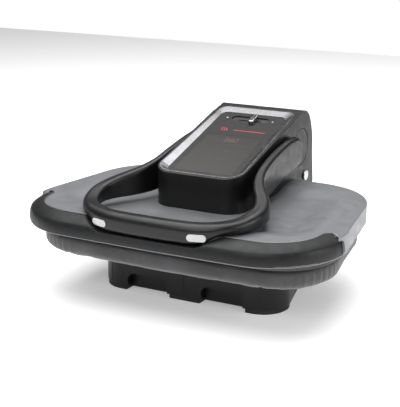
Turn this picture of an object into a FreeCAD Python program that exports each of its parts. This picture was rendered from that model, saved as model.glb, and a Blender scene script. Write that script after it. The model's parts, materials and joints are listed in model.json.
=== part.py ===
import FreeCAD, Part
import math
import os
from FreeCAD import Placement, Rotation, Vector

# Clamshell heat press: a padded board on a moulded base, a heated head that
# opens about a rear hinge, and a loop handle whose lever pulls the head down
# through a pair of links.  +Z is up, the front is -Y, millimetres.  The origin
# is the middle of the object's footprint, on the surface that it stands on.
# Sketches are drawn about the plate's own datum, and each body's Placement
# moves the datum to its place in the object.

SHEET_NAME = "Sizes"
SIZES = {
    "datum_shift": -39.05,
    # heated head, measured from the floor
    "cover_top": 175.3,
    "cover_depth": 38.0,
    "cover_wall": 2.5,
    "lip_depth": 2.5,
    "shield_depth": 4.5,
    "platen_depth": 6.2,
    "platen_inset": 14.0,
    "dish_depth": 10.0,
    # pressing board
    "board_gap": 0.3,
    "board_inset": 10.0,
    "board_depth": 36.5,
    "board_edge_radius": 17.0,
    "fabric_thickness": 1.3,
    "foam_depth": 18.0,
    "tray_depth": 14.8,
    # base
    "base_top": 86.5,
    "base_bottom": 8.0,
    "base_wall": 3.0,
    "foot_depth": 10.0,
    "arch_height": 35.0,
    "arch_depth": 18.0,
    # arm housing and tower
    "housing_wall": 3.0,
    "tower_half_width": 92.3,
    "tower_wall": 3.5,
    "panel_slope": 14.6,
    # pivots, as distances behind the plate datum and heights above the floor
    "hinge_back": 261.4,
    "hinge_height": 172.2,
    "lever_back": 177.3,
    "lever_height": 238.9,
    "anchor_back": 241.4,
    "anchor_height": 166.0,
    "crank_back": 205.4,
    "crank_height": 257.9,
    "hinge_pin_radius": 8.0,
    "lever_shaft_radius": 7.0,
    "link_pin_radius": 4.0,
    "running_gap": 0.05,
}

doc = FreeCAD.newDocument("heat_press")
sheet = doc.addObject("Spreadsheet::Sheet", SHEET_NAME)
for row, (alias, value) in enumerate(SIZES.items(), start=1):
    sheet.set(f"A{row}", alias)
    sheet.set(f"B{row}", str(value))
    sheet.setAlias(f"B{row}", alias)
doc.recompute()

size = {alias: sheet.get(alias) for alias in SIZES}
pieces = []


# ---------------------------------------------------------------- helpers

def ref(text):
    """Expression text in which every sheet alias names its cell."""
    for alias in sorted(SIZES, key=len, reverse=True):
        text = text.replace("$" + alias, f"{SHEET_NAME}.{alias}")
    return text


def new_body(label, keep=True):
    body = doc.addObject("PartDesign::Body", label)
    body.Label = label
    body.setExpression("Placement.Base.y", ref("$datum_shift * 1mm"))
    if keep:
        pieces.append(body)
    return body


def origin_plane(body, role):
    return next(item for item in body.Origin.OriginFeatures if item.Role == role)


def add_sketch(body, role, geometry, level="0"):
    """Closed outlines on a plane parallel to one of the body's own planes."""
    sketch = body.newObject("Sketcher::SketchObject", body.Name + "_outline")
    sketch.AttachmentSupport = [(origin_plane(body, role), "")]
    sketch.MapMode = "FlatFace"
    sketch.setExpression("AttachmentOffset.Base.z", ref(f"({level}) * 1mm"))
    sketch.addGeometry(geometry, False)
    return sketch


def pad(body, sketch, length, both_ways=False):
    feature = body.newObject("PartDesign::Pad", body.Name + "_pad")
    feature.Profile = sketch
    feature.setExpression("Length", ref(f"({length}) * 1mm"))
    if both_ways:
        feature.Midplane = True
    doc.recompute()
    return feature


def pocket(body, sketch, depth, upwards=False, both_ways=False):
    feature = body.newObject("PartDesign::Pocket", body.Name + "_pocket")
    feature.Profile = sketch
    feature.setExpression("Length", ref(f"({depth}) * 1mm"))
    feature.Reversed = upwards
    if both_ways:
        feature.Midplane = True
    doc.recompute()
    return feature


def round_edges(body, chosen, radius):
    """Fillet the edges of the body's tip that the test picks."""
    tip = body.Tip
    names = [f"Edge{number}" for number, edge in enumerate(tip.Shape.Edges, start=1)
             if chosen(edge)]
    feature = body.newObject("PartDesign::Fillet", body.Name + "_fillet")
    feature.Base = (tip, names)
    feature.setExpression("Radius", ref(f"({radius}) * 1mm"))
    doc.recompute()
    return feature


def at_level(level, tolerance=0.01):
    """Test for edges that lie wholly at one height."""
    def test(edge):
        box = edge.BoundBox
        return abs(box.ZMin - level) < tolerance and abs(box.ZMax - level) < tolerance
    return test


def rounded_loop(corners):
    """Closed outline through (x, y, radius) corners, with tangent arcs."""
    count = len(corners)
    arcs = []
    for index, (x, y, radius) in enumerate(corners):
        here = Vector(x, y, 0)
        before = Vector(*corners[index - 1][:2], 0)
        after = Vector(*corners[(index + 1) % count][:2], 0)
        back = (before - here).normalize()
        ahead = (after - here).normalize()
        half = back.getAngle(ahead) / 2
        if radius <= 0 or abs(half - math.pi / 2) < 1e-6:
            arcs.append((here, None, here))
            continue
        reach = radius / math.tan(half)
        middle_way = (back + ahead).normalize()
        centre = here + middle_way * (radius / math.sin(half))
        arcs.append((here + back * reach, centre - middle_way * radius,
                     here + ahead * reach))
    outline = []
    for index, (start, middle, end) in enumerate(arcs):
        if middle is not None:
            outline.append(Part.Arc(start, middle, end))
        following = arcs[(index + 1) % count][0]
        if (following - end).Length > 1e-6:
            outline.append(Part.LineSegment(end, following))
    return outline


def mirrored(half):
    """Whole outline from its right half, given from front to rear."""
    return half + [(-x, y, radius) for x, y, radius in reversed(half) if x > 0]


def circle(x, y, radius):
    return [Part.Circle(Vector(x, y, 0), Vector(0, 0, 1), radius)]


def obround(x, y, half_length, radius, across=True):
    along = Vector(1, 0, 0) if across else Vector(0, 1, 0)
    step = along * half_length
    reach = along * (half_length + radius)
    side = Vector(-along.y, along.x, 0) * radius
    centre = Vector(x, y, 0)
    return [
        Part.LineSegment(centre - step + side, centre + step + side),
        Part.Arc(centre + step + side, centre + reach, centre + step - side),
        Part.LineSegment(centre + step - side, centre - step - side),
        Part.Arc(centre - step - side, centre - reach, centre - step + side),
    ]


def cylinder_across(body, back, height, radius, length, centre_x=0.0):
    """Round bar along X, centred on centre_x."""
    sketch = add_sketch(body, "YZ_Plane", circle(back, height, radius), str(centre_x))
    return pad(body, sketch, length, both_ways=True)


def bore_across(body, back, height, radius, length, centre_x=0.0):
    sketch = add_sketch(body, "YZ_Plane", circle(back, height, radius), str(centre_x))
    return pocket(body, sketch, length, both_ways=True)


# ---------------------------------------------------------------- outlines

PLATE_HALF_FRONT = 328.0
PLATE_HALF_REAR = 264.4
PLATE_FRONT = -203.0
PLATE_REAR = 217.0
PLATE_BOW = 8.0


def plate_outline(inset, front_radius=122.0, rear_radius=135.0):
    """The plate's rounded trapezoid, drawn in by an even inset."""
    lean = (PLATE_HALF_FRONT - PLATE_HALF_REAR) / (PLATE_REAR - PLATE_FRONT)
    side = inset * math.hypot(1, lean)
    front = PLATE_FRONT + inset
    rear = PLATE_REAR - inset
    half_front = PLATE_HALF_FRONT - side - lean * inset
    half_rear = PLATE_HALF_REAR - side + lean * inset
    return rounded_loop(mirrored([
        (0, front - 2, 1500),
        (half_front, front + PLATE_BOW, front_radius - inset),
        (half_rear, rear - PLATE_BOW, rear_radius - inset),
        (0, rear + 2, 1500),
    ]))


BASE_FRONT = -88.0
BASE_REAR = 296.0
BASE_HALF_FRONT = 201.0
BASE_HALF_REAR = 118.0
ARCH_INNER = 36.0
ARCH_OUTER = 121.0


def base_side(back):
    """Half-width of the base at a distance behind the datum."""
    share = (back - BASE_FRONT) / (BASE_REAR - BASE_FRONT)
    return BASE_HALF_FRONT + share * (BASE_HALF_REAR - BASE_HALF_FRONT)


def base_outline(inset):
    return rounded_loop(mirrored([
        (base_side(BASE_FRONT) - inset, BASE_FRONT + inset, 52 - inset),
        (base_side(BASE_REAR) - inset, BASE_REAR - inset, 40 - inset),
    ]))


HOUSING_FRONT = -49.2
HOUSING_HALF_FRONT = 90.7
HOUSING_REAR = 213.0
HOUSING_HALF_REAR = 92.3
HOUSING_CORNER = 39.0
HOUSING_BASE = 163.0
PANEL_EDGE_BACK = -44.0
PANEL_EDGE_HEIGHT = 232.7
SLOPE = math.tan(math.radians(size["panel_slope"]))


def panel_height(back, drop=0.0):
    """Height of the sloping top of the arm at a distance behind the datum."""
    return PANEL_EDGE_HEIGHT + (back - PANEL_EDGE_BACK) * SLOPE - drop


def housing_outline(inset, rear):
    return rounded_loop(mirrored([
        (HOUSING_HALF_FRONT - inset, HOUSING_FRONT + inset, HOUSING_CORNER - inset),
        (HOUSING_HALF_REAR - inset, rear, 0),
    ]))


BUMPER_HALF = [
    (0, -228.5, 2500),
    (312.5, -224.5, 113),
    (311.2, -97.5, 3),
    (288, -90, 7),
    (277, -96, 9),
    (268, -192, 50),
    (0, -193, 2500),
]


def bumper_outline():
    right = BUMPER_HALF[1:-1]
    left = [(-x, y, radius) for x, y, radius in reversed(right)]
    return rounded_loop([BUMPER_HALF[0]] + right + [BUMPER_HALF[-1]] + left)


# Profile of the rear tower, as (back, height, radius) in the side plane.
TOWER_REACH = 49.3
TOWER_TOP_BACK = 255.8
TOWER_TOP_HEIGHT = 307.4


def tower_profile(inset, drop_to=None):
    """Side outline of the tower: sloping top, rounded rear, barrel at the hinge."""
    hinge = Vector(size["hinge_back"], size["hinge_height"], 0)
    reach = TOWER_REACH - inset
    front = HOUSING_REAR
    rear_top = [
        Vector(front, panel_height(front, inset + 1.6), 0),
        Vector(TOWER_TOP_BACK - inset, TOWER_TOP_HEIGHT - inset, 0),
        Vector(283.7 - inset, 286.3, 0),
        Vector(298.3 - inset, 216.3, 0),
        hinge + Vector(math.cos(math.radians(-24)), math.sin(math.radians(-24)), 0) * reach,
    ]
    outline = [Part.LineSegment(rear_top[0], rear_top[1])]
    crown = Vector(274.0 - inset * 0.8, 298.6 - inset * 0.8, 0)
    outline.append(Part.Arc(rear_top[1], crown, rear_top[2]))
    shoulder = Vector(293.4 - inset, 263.0, 0)
    outline.append(Part.Arc(rear_top[2], shoulder, rear_top[3]))
    outline.append(Part.LineSegment(rear_top[3], rear_top[4]))
    if drop_to is None:
        low = hinge + Vector(0, -reach, 0)
        front_low = hinge + Vector(-reach, 0, 0)
        outline.append(Part.Arc(rear_top[4], low, hinge + Vector(
            math.cos(math.radians(-160)), math.sin(math.radians(-160)), 0) * reach))
        last = hinge + Vector(math.cos(math.radians(-160)),
                              math.sin(math.radians(-160)), 0) * reach
        top_of_barrel = Vector(front, size["hinge_height"] + 6, 0)
        outline.append(Part.Arc(last, front_low, top_of_barrel))
        outline.append(Part.LineSegment(top_of_barrel, rear_top[0]))
        return outline
    corner_rear = Vector(rear_top[4].x, drop_to, 0)
    corner_front = Vector(front, drop_to, 0)
    outline.append(Part.LineSegment(rear_top[4], corner_rear))
    outline.append(Part.LineSegment(corner_rear, corner_front))
    outline.append(Part.LineSegment(corner_front, rear_top[0]))
    return outline


def cover_outline(inset):
    """Pressed top cover: the plate outline behind the bumper's inner edge."""
    lean = (PLATE_HALF_FRONT - PLATE_HALF_REAR) / (PLATE_REAR - PLATE_FRONT)
    half_rear = PLATE_HALF_REAR - inset * math.hypot(1, lean) + lean * inset
    return rounded_loop(mirrored([
        (0, -193 + inset, 2500),
        (268 - inset, -192 + inset, 50 - inset),
        (277 - inset, -96 + inset * 0.5, 9),
        (288 - inset, -90 + inset, 7),
        (311.2 - inset, -97.5 + inset * 1.2, 2),
        (half_rear, PLATE_REAR - PLATE_BOW - inset, 135 - inset),
        (0, PLATE_REAR + 2 - inset, 1500),
    ]))


# ---------------------------------------------------------------- base

def make_base_housing():
    body = new_body("base_housing")
    pad(body, add_sketch(body, "XY_Plane", base_outline(0), "$base_bottom"),
        "$base_top - $base_bottom")
    round_edges(body, at_level(size["base_top"]), "3")
    riser = rounded_loop([(-150, -70, 12), (150, -70, 12), (150, 128, 12), (-150, 128, 12)])
    pad(body, add_sketch(body, "XY_Plane", riser, "$base_top"), "$board_gap + 1.8")
    wall = size["base_wall"]
    back = BASE_FRONT + size["arch_depth"]
    cavity = rounded_loop(mirrored([
        (0, BASE_FRONT + wall, 0),
        (ARCH_INNER - wall, BASE_FRONT + wall, 0),
        (ARCH_INNER - wall, back + wall, 0),
        (ARCH_OUTER + wall, back + wall, 0),
        (ARCH_OUTER + wall, BASE_FRONT + wall, 0),
        (base_side(BASE_FRONT) - wall, BASE_FRONT + wall, 49),
        (base_side(BASE_REAR) - wall, BASE_REAR - wall, 37),
    ]))
    cavity_sketch = add_sketch(body, "XY_Plane", cavity, "$base_bottom")
    pocket(body, cavity_sketch, "$base_top - $base_bottom - $base_wall", upwards=True)
    for side in (-1, 1):
        low, high = sorted((side * ARCH_INNER, side * ARCH_OUTER))
        top = size["arch_height"]
        arch = rounded_loop([(low, -5, 0), (high, -5, 0), (high, top, 14), (low, top, 14)])
        arch_sketch = add_sketch(body, "XZ_Plane", arch, str(-BASE_FRONT))
        pocket(body, arch_sketch, "$arch_depth")
        curtain = rounded_loop([(low - wall, back, 0), (high + wall, back, 0),
                                (high + wall, back + wall, 0), (low - wall, back + wall, 0)])
        pad(body, add_sketch(body, "XY_Plane", curtain, "3"), "$base_bottom - 3")
    inlet = rounded_loop([(-15.5, 32.5, 2), (15.5, 32.5, 2), (15.5, 55.5, 2), (-15.5, 55.5, 2)])
    pocket(body, add_sketch(body, "XZ_Plane", inlet, str(-BASE_REAR)), "$base_wall + 1",
           upwards=True)
    return body


def make_base_feet():
    body = new_body("base_feet")
    body.AllowCompound = True
    inset = 1.5
    outlines = rounded_loop([
        (-ARCH_INNER + 3.5, BASE_FRONT + inset, 3), (ARCH_INNER - 3.5, BASE_FRONT + inset, 3),
        (ARCH_INNER - 3.5, -46, 3), (-ARCH_INNER + 3.5, -46, 3)])
    for side in (-1, 1):
        outlines += rounded_loop([
            (side * (ARCH_OUTER + 3.5), BASE_FRONT + inset, 3),
            (side * (base_side(BASE_FRONT) - inset), BASE_FRONT + inset, 50),
            (side * (base_side(-20) - inset), -20, 3),
            (side * (ARCH_OUTER + 3.5), -20, 3)])
        outlines += rounded_loop([
            (side * 60, 250, 3),
            (side * (base_side(250) - inset), 250, 3),
            (side * (base_side(BASE_REAR) - inset), BASE_REAR - inset, 38),
            (side * 60, BASE_REAR - inset, 3)])
    pad(body, add_sketch(body, "XY_Plane", outlines, "0"), "$base_bottom")
    return body


def make_base_plate():
    body = new_body("base_plate")
    wall = size["base_wall"] + 0.5
    plate = rounded_loop(mirrored([
        (base_side(-24) - wall, -24, 4),
        (base_side(BASE_REAR) - wall, BASE_REAR - wall, 36),
    ]))
    pad(body, add_sketch(body, "XY_Plane", plate, "$base_bottom + 1"), "2")
    return body


def make_base_screws():
    body = new_body("base_screws")
    body.AllowCompound = True
    places = [(x * side, y) for side in (-1, 1)
              for x, y in ((150, -12), (135, 60), (118, 170), (88, 240))]
    heads = [edge for x, y in places for edge in circle(x, y, 4.2)]
    pad(body, add_sketch(body, "XY_Plane", heads, "$base_bottom - 1.2"), "2.2")
    return body


def make_board_tray():
    body = new_body("board_tray")
    pad(body, add_sketch(body, "XY_Plane", plate_outline(36, 150), "$base_top + 2.1"),
        "$tray_depth")
    round_edges(body, at_level(size["base_top"] + 2.1), "5")
    hollow = plate_outline(42, 150)
    hollow += rounded_loop([(-150, -70, 12), (150, -70, 12), (150, 128, 12), (-150, 128, 12)])
    pocket(body, add_sketch(body, "XY_Plane", hollow, "$base_top + 2.1"), "$tray_depth - 3",
           upwards=True)
    return body


def make_foam_pad():
    body = new_body("foam_pad")
    level = "$cover_top - $cover_depth - $lip_depth - $shield_depth - $platen_depth" \
            " - $board_gap - $fabric_thickness - 0.3"
    pad(body, add_sketch(body, "XY_Plane", plate_outline(13, 150), level + " - $foam_depth"),
        "$foam_depth")
    return body


def board_top():
    return (size["cover_top"] - size["cover_depth"] - size["lip_depth"] - size["shield_depth"]
            - size["platen_depth"] - size["board_gap"])


def make_board_cover():
    """Fabric cover: a thin closed shell with a wide opening under the board."""
    fabric = size["fabric_thickness"]
    outer = new_body("board_cover_outer", keep=False)
    top = board_top()
    pad(outer, add_sketch(outer, "XY_Plane", plate_outline(size["board_inset"], 150),
                          str(top) + " - $board_depth"), "$board_depth")
    round_edges(outer, at_level(top - size["board_depth"]), "$board_edge_radius")
    inner = new_body("board_cover_inner", keep=False)
    pad(inner, add_sketch(inner, "XY_Plane", plate_outline(size["board_inset"] + fabric, 150),
                          str(top) + " - $board_depth + $fabric_thickness"),
        "$board_depth - 2 * $fabric_thickness")
    round_edges(inner, at_level(top - size["board_depth"] + fabric),
                "$board_edge_radius - $fabric_thickness")
    opening = plate_outline(62, 160)
    pad(inner, add_sketch(inner, "XY_Plane", opening, str(top) + " - $board_depth - 2"), "10")
    cover = doc.addObject("Part::Cut", "board_cover")
    cover.Base = outer
    cover.Tool = inner
    cover.Label = "board_cover"
    pieces.append(cover)
    return cover


EAR_MIDDLE = 83.5
EAR_DEPTH = 7.0


def make_hinge_bracket():
    body = new_body("hinge_bracket")
    flange = rounded_loop([(-105, 222, 8), (105, 222, 8), (105, 288, 8), (-105, 288, 8)])
    pad(body, add_sketch(body, "XY_Plane", flange, "$base_top"), "4")
    ear = rounded_loop([(226, 88, 0), (286, 88, 0), (270, 124, 12), (272, 176, 0),
                        (233, 176, 0), (226, 150, 20)])
    for side in (-1, 1):
        place = str(side * EAR_MIDDLE)
        pad(body, add_sketch(body, "YZ_Plane", ear, place), str(EAR_DEPTH), both_ways=True)
        cylinder_across(body, size["hinge_back"], size["hinge_height"], 38, EAR_DEPTH,
                        side * EAR_MIDDLE)
    bore_across(body, size["hinge_back"], size["hinge_height"],
                size["hinge_pin_radius"] + size["running_gap"], 200)
    bore_across(body, size["anchor_back"], size["anchor_height"],
                size["link_pin_radius"] + size["running_gap"], 200)
    return body


def make_bracket_screws():
    body = new_body("bracket_screws")
    body.AllowCompound = True
    places = [(x, y) for x in (-96, 0, 96) for y in (232, 278)]
    heads = [edge for x, y in places for edge in circle(x, y, 5)]
    pad(body, add_sketch(body, "XY_Plane", heads, "$base_top + 4"), "4")
    return body


def make_column_cover():
    body = new_body("column_cover")
    outer = rounded_loop([(-79, 224, 10), (79, 224, 10), (79, 273, 10), (-79, 273, 10)])
    inner = rounded_loop([(-76, 227, 7), (76, 227, 7), (76, 270, 7), (-76, 270, 7)])
    pad(body, add_sketch(body, "XY_Plane", outer, "$base_top + 8.5"), "28")
    round_edges(body, at_level(size["base_top"] + 36.5), "4")
    pocket(body, add_sketch(body, "XY_Plane", inner, "$base_top + 8.5"), "25", upwards=True)
    return body


def make_hinge_pin():
    body = new_body("hinge_pin")
    cylinder_across(body, size["hinge_back"], size["hinge_height"], size["hinge_pin_radius"], 186)
    return body


def make_hinge_caps():
    body = new_body("hinge_caps")
    body.AllowCompound = True
    for side in (-1, 1):
        middle = side * (93 + 1.6)
        cylinder_across(body, size["hinge_back"], size["hinge_height"], 10.8, 3.2, middle)
    round_edges(body, lambda edge: abs(edge.BoundBox.Center.x) > 96, "1.4")
    return body


def make_hinge_washers():
    body = new_body("hinge_washers")
    body.AllowCompound = True
    for side in (-1, 1):
        middle = side * (EAR_MIDDLE + EAR_DEPTH / 2 + 0.9)
        ring = circle(size["hinge_back"], size["hinge_height"], 16)
        ring += circle(size["hinge_back"], size["hinge_height"], size["hinge_pin_radius"] + 0.1)
        pad(body, add_sketch(body, "YZ_Plane", ring, str(middle)), "1.4", both_ways=True)
    return body


def make_anchor_pin():
    body = new_body("anchor_pin")
    cylinder_across(body, size["anchor_back"], size["anchor_height"], size["link_pin_radius"], 174)
    return body


def make_power_inlet():
    body = new_body("power_inlet")
    flange = rounded_loop([(-25, 30, 4), (25, 30, 4), (25, 58, 4), (-25, 58, 4)])
    pad(body, add_sketch(body, "XZ_Plane", flange, str(-BASE_REAR - 2.5)), "2.5")
    shell = rounded_loop([(-15, 33, 2), (15, 33, 2), (15, 55, 2), (-15, 55, 2)])
    pad(body, add_sketch(body, "XZ_Plane", shell, str(-BASE_REAR)), "28")
    mouth = rounded_loop([(-12, 35.5, 2), (12, 35.5, 2), (12, 49, 3), (8, 52, 2),
                          (-8, 52, 2), (-12, 49, 3)])
    pocket(body, add_sketch(body, "XZ_Plane", mouth, str(-BASE_REAR - 2.5)), "18",
           upwards=True)
    return body


# ---------------------------------------------------------------- heated head

LIP_TOP = "$cover_top - $cover_depth"
SHIELD_TOP = LIP_TOP + " - $lip_depth"
PLATEN_TOP = SHIELD_TOP + " - $shield_depth"
PLATEN_BOTTOM = PLATEN_TOP + " - $platen_depth"
platen_top = size["cover_top"] - size["cover_depth"] - size["lip_depth"] - size["shield_depth"]
NEST_FLOOR = 158.8
POST_PLACES = [(side * 62, back) for side in (-1, 1) for back in (-27, 37, 102)]


def cut_handle_nest(body, middle, depth):
    """Trough across the head's front edge that the closed handle lies in."""
    top = size["cover_top"] + 4
    trough = rounded_loop([(-142, top, 0), (-97, NEST_FLOOR, 6), (97, NEST_FLOOR, 6),
                           (142, top, 0)])
    pocket(body, add_sketch(body, "XZ_Plane", trough, str(-middle)), str(depth), both_ways=True)


def make_top_cover():
    body = new_body("top_cover")
    pad(body, add_sketch(body, "XY_Plane", cover_outline(0), LIP_TOP), "$cover_depth")
    round_edges(body, at_level(size["cover_top"]), "2")
    dish = body.newObject("PartDesign::SubtractiveLoft", "top_cover_dish")
    rim = add_sketch(body, "XY_Plane", plate_outline(46, 130, 145), "$cover_top + 0.01")
    floor = add_sketch(body, "XY_Plane", plate_outline(130, 150, 150), "$cover_top - $dish_depth")
    dish.Profile = rim
    dish.Sections = [floor]
    dish.Ruled = True
    doc.recompute()
    wall = size["cover_wall"]
    shallow = add_sketch(body, "XY_Plane", cover_outline(wall), LIP_TOP)
    pocket(body, shallow, "$cover_depth - $dish_depth - $cover_wall", upwards=True)
    hollow = add_sketch(body, "XY_Plane", cover_outline(wall) + plate_outline(44, 130, 145),
                        "$cover_top - $dish_depth - $cover_wall")
    pocket(body, hollow, "$dish_depth", upwards=True)
    hole = housing_outline(-0.3, 212)
    pocket(body, add_sketch(body, "XY_Plane", hole, "$cover_top + 1"), "$dish_depth + 8")
    tray = rounded_loop([(-127, -190.4, 0), (127, -190.4, 0), (127, -171, 0), (-127, -171, 0)])
    pad(body, add_sketch(body, "XY_Plane", tray, str(NEST_FLOOR - 3)), "$cover_top - "
        + str(NEST_FLOOR - 3) + " - 1")
    cut_handle_nest(body, -187, 26)
    notch = rounded_loop([(-93, 211, 0), (93, 211, 0), (93, 230, 0), (-93, 230, 0)])
    pocket(body, add_sketch(body, "XY_Plane", notch, "$cover_top + 1"), "$cover_depth + 2")
    return body


def make_front_bumper():
    body = new_body("front_bumper")
    pad(body, add_sketch(body, "XY_Plane", bumper_outline(), LIP_TOP), "$cover_depth + 1.2")
    round_edges(body, at_level(size["cover_top"] + 1.2), "3")
    cut_handle_nest(body, -210, 40)
    underside = mirrored([(309.3, -221.3, 108), (308.2, -101, 2), (281, -101, 3),
                          (271.3, -195.2, 50)])
    middle = [(0, -225.3, 2500)] + underside[:4] + [(0, -196.2, 2500)] + underside[4:]
    pocket(body, add_sketch(body, "XY_Plane", rounded_loop(middle), LIP_TOP), "18", upwards=True)
    return body


def make_ring(label, outer, inner, level, depth):
    body = new_body(label)
    pad(body, add_sketch(body, "XY_Plane", outer + inner, level), depth)
    return body


def make_lip_trim():
    return make_ring("lip_trim", plate_outline(5), plate_outline(24), SHIELD_TOP, "$lip_depth")


def make_heat_shield():
    return make_ring("heat_shield", plate_outline(9), plate_outline(36), PLATEN_TOP,
                     "$shield_depth")


def make_platen():
    body = new_body("platen")
    pad(body, add_sketch(body, "XY_Plane", plate_outline(size["platen_inset"]), PLATEN_BOTTOM),
        "$platen_depth")
    round_edges(body, at_level(platen_top - size["platen_depth"]), "2.5")
    return body


ELEMENT_RADIUS = 3.6
ELEMENT_RUN = 205.0
ELEMENT_ROWS = [-125, -60, 5, 70, 135]


def make_heating_element():
    """Sheathed element that winds across the platen in parallel runs."""
    body = new_body("heating_element")
    level = PLATEN_TOP + f" + {ELEMENT_RADIUS}"
    path = body.newObject("Sketcher::SketchObject", "element_path")
    path.AttachmentSupport = [(origin_plane(body, "XY_Plane"), "")]
    path.MapMode = "FlatFace"
    path.setExpression("AttachmentOffset.Base.z", ref(f"({level}) * 1mm"))
    bend = (ELEMENT_ROWS[1] - ELEMENT_ROWS[0]) / 2
    run = ELEMENT_RUN - bend
    edges = []
    side = 1
    for index, back in enumerate(ELEMENT_ROWS):
        start = Vector(-side * run, back, 0)
        end = Vector(side * run, back, 0)
        edges.append(Part.LineSegment(start, end))
        if index + 1 < len(ELEMENT_ROWS):
            middle = Vector(side * (run + bend), back + bend, 0)
            turn = Vector(side * run, ELEMENT_ROWS[index + 1], 0)
            edges.append(Part.Arc(end, middle, turn))
        side = -side
    path.addGeometry(edges, False)
    section = body.newObject("Sketcher::SketchObject", "element_section")
    section.AttachmentSupport = [(origin_plane(body, "YZ_Plane"), "")]
    section.MapMode = "FlatFace"
    section.AttachmentOffset = Placement(Vector(0, 0, -run), Rotation())
    section.addGeometry(Part.Circle(Vector(ELEMENT_ROWS[0], platen_top + ELEMENT_RADIUS, 0),
                                    Vector(0, 0, 1), ELEMENT_RADIUS), False)
    pipe = body.newObject("PartDesign::AdditivePipe", "element_pipe")
    pipe.Profile = section
    pipe.Spine = path
    doc.recompute()
    return body


def make_insulation():
    body = new_body("insulation_pad")
    holes = [edge for x, y in POST_PLACES for edge in circle(x, y, 6)]
    pad(body, add_sketch(body, "XY_Plane", plate_outline(36) + holes, LIP_TOP + " + 1"), "22")
    return body


def make_platen_posts():
    body = new_body("platen_posts")
    body.AllowCompound = True
    posts = [edge for x, y in POST_PLACES for edge in circle(x, y, 5)]
    pad(body, add_sketch(body, "XY_Plane", posts, PLATEN_TOP), "165.9 - (" + PLATEN_TOP + ")")
    return body


def make_post_screws():
    body = new_body("post_screws")
    body.AllowCompound = True
    heads = [edge for x, y in POST_PLACES for edge in circle(x, y, 4)]
    pad(body, add_sketch(body, "XY_Plane", heads, "169"), "2.6")
    return body


def make_thermostat():
    body = new_body("thermostat")
    pad(body, add_sketch(body, "XY_Plane", circle(-30, -28, 12), PLATEN_TOP), "4")
    pad(body, add_sketch(body, "XY_Plane", circle(-30, -28, 8), PLATEN_TOP + " + 4"), "3.5")
    return body


def make_thermal_fuse():
    body = new_body("thermal_fuse")
    cylinder_across(body, -28, platen_top + 3.2, 3, 26, 35)
    return body


# The steel frame that joins the platen's posts to the hinge and the lever shaft.
FRAME_MIDDLE = 72.0
FRAME_SHEET = 4.0


def make_head_frame():
    body = new_body("head_frame")
    floor = rounded_loop([(-74, -32, 10), (74, -32, 10), (74, 200, 4), (-74, 200, 4)])
    pad(body, add_sketch(body, "XY_Plane", floor, "166"), "3")
    wall = rounded_loop([(-32, 167, 0), (200, 167, 0), (200, 180, 4), (250, 180, 0),
                         (256, 160, 8), (275, 160, 8), (277, 190, 8), (190, 262, 10),
                         (160, 262, 10), (110, 205, 20), (-32, 190, 8)])
    for side in (-1, 1):
        pad(body, add_sketch(body, "YZ_Plane", wall, str(side * FRAME_MIDDLE)),
            str(FRAME_SHEET), both_ways=True)
    bore_across(body, size["hinge_back"], size["hinge_height"],
                size["hinge_pin_radius"] + size["running_gap"], 200)
    bore_across(body, size["lever_back"], size["lever_height"],
                size["lever_shaft_radius"] + size["running_gap"], 200)
    return body


def sloped_sketch(body, geometry, drop=0.0):
    """Outline on the arm's sloping top, or on a plane parallel to it."""
    sketch = body.newObject("Sketcher::SketchObject", body.Name + "_sloped")
    sketch.AttachmentSupport = [(origin_plane(body, "XY_Plane"), "")]
    sketch.MapMode = "FlatFace"
    turn = Rotation(Vector(1, 0, 0), size["panel_slope"])
    down = turn.multVec(Vector(0, 0, -drop))
    base = Vector(0, PANEL_EDGE_BACK, PANEL_EDGE_HEIGHT) + down
    sketch.AttachmentOffset = Placement(base, turn)
    sketch.addGeometry(geometry, False)
    return sketch


def bezel_outer(inset):
    return rounded_loop(mirrored([
        (89.4 - inset, inset, 34 - inset),
        (84.6 - inset, 290.0 - inset, 20 - inset),
    ]))


BUSH_RADIUS = 12.0
HUB_BACK = 236.8
HUB_HEIGHT = 235.8
HUB_RADIUS = 38.4
HUB_RECESS = 2.0


def cut_hub_recesses(body):
    """Round recesses for the linkage covers, one in each cheek."""
    for side in (-1, 1):
        bore_across(body, HUB_BACK, HUB_HEIGHT, HUB_RADIUS, 2 * HUB_RECESS,
                    side * size["tower_half_width"])


def make_control_housing():
    body = new_body("control_housing")
    wall = size["housing_wall"]
    pad(body, add_sketch(body, "XY_Plane", housing_outline(0, HOUSING_REAR), str(HOUSING_BASE)), "160")
    sky = rounded_loop([(-80, panel_height(-80), 0), (230, panel_height(230), 0),
                        (230, 400, 0), (-80, 400, 0)])
    pocket(body, add_sketch(body, "YZ_Plane", sky, "0"), "240", both_ways=True)

    def on_slope(edge):
        points = [vertex.Point for vertex in edge.Vertexes]
        high = all(abs(point.z - panel_height(point.y)) < 0.05 for point in points)
        rear = all(abs(point.y - HOUSING_REAR) < 0.05 for point in points)
        return high and not rear and len(points) == 2
    round_edges(body, on_slope, "1.2")
    cavity = add_sketch(body, "XY_Plane", housing_outline(wall, HOUSING_REAR + 5), str(HOUSING_BASE))
    pocket(body, cavity, "50", upwards=True)
    well = sloped_sketch(body, bezel_outer(1.2), drop=-5)
    pocket(body, well, "42")
    bay = rounded_loop([(60, HOUSING_BASE - 1, 0), (230, HOUSING_BASE - 1, 0),
                        (230, panel_height(230, 20), 0), (60, panel_height(60, 20), 0)])
    pocket(body, add_sketch(body, "YZ_Plane", bay, "0"), "177", both_ways=True)
    barrel = rounded_loop([(-93, 211.9, 0), (93, 211.9, 0), (93, 215, 0), (-93, 215, 0)])
    pocket(body, add_sketch(body, "XY_Plane", barrel, str(HOUSING_BASE)), "16", upwards=True)
    bore_across(body, size["lever_back"], size["lever_height"], BUSH_RADIUS + 0.05, 200)
    cut_hub_recesses(body)
    return body


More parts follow.
